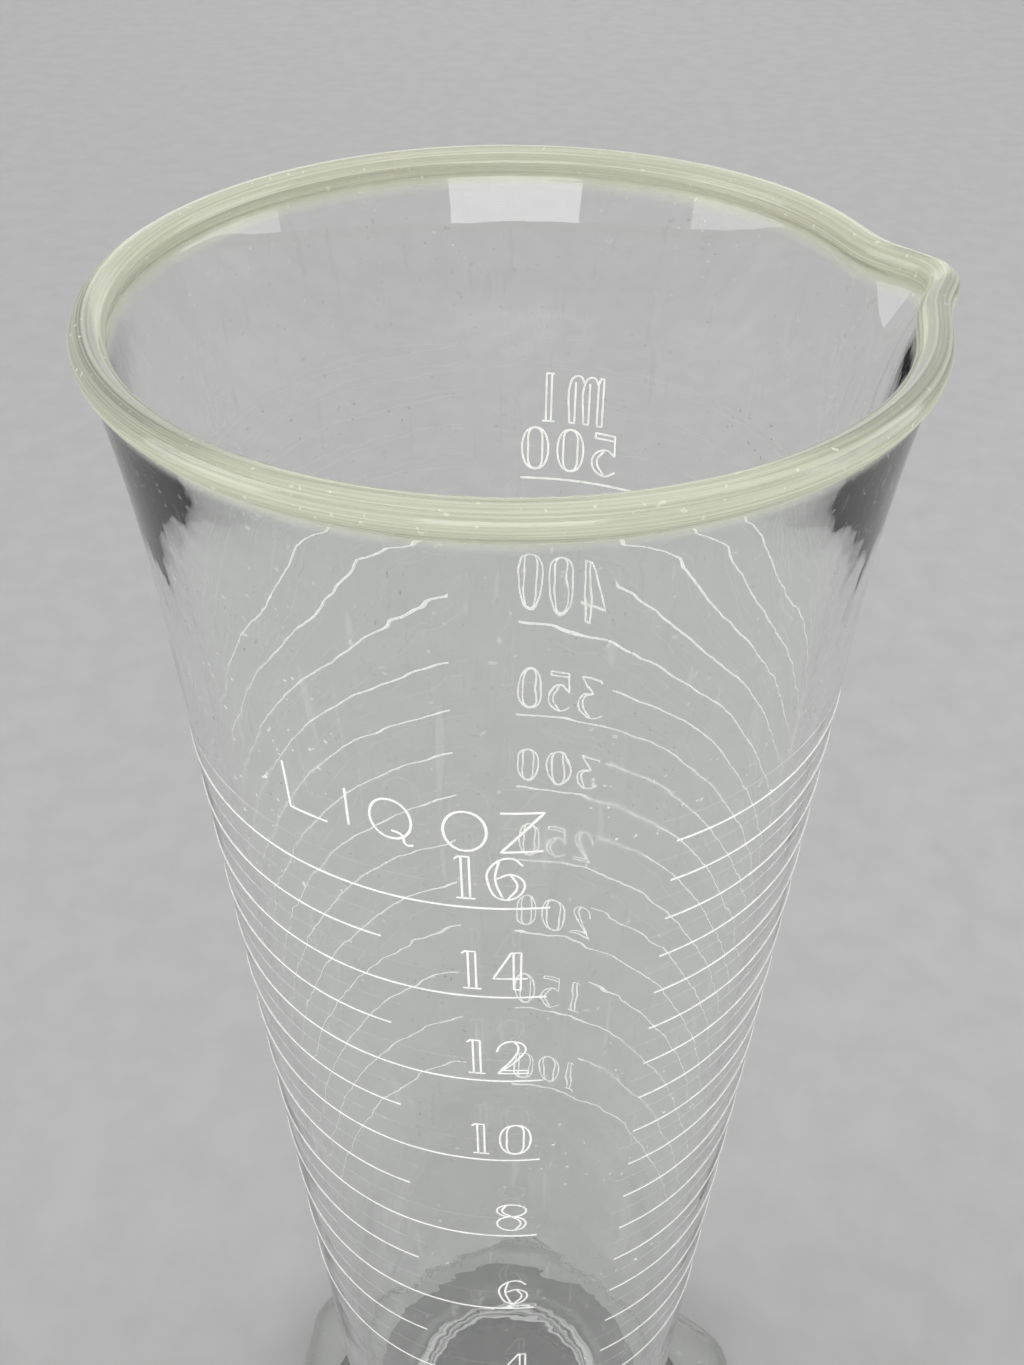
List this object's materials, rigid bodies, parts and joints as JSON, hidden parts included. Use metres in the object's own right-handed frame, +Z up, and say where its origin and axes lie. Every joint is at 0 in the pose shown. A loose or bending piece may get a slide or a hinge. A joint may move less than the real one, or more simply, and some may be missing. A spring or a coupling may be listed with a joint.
{
  "type": "conical measuring graduate",
  "caption": "Tapered clear glass measuring graduate with a beaded, spouted rim, enamel ounce and millilitre lines, and a flared stem on a six-sided foot.",
  "frame": {"origin": "on the cone's axis, in the plane that the foot stands on", "axes": "+Z up the cone's axis; -Y towards the ounce numbers' side, +Y towards the millilitre numbers' side; the spout is 8 degrees behind +X"},
  "size_m": [0.0929, 0.0966, 0.2457],
  "materials": {
    "clear_glass": "fire-polished",
    "white_enamel": "fired enamel"
  },
  "bodies": {
    "root": {"graduate_glass": "clear_glass", "ounce_scale_lines": "white_enamel", "millilitre_scale_lines": "white_enamel"}
  },
  "joints": []
}
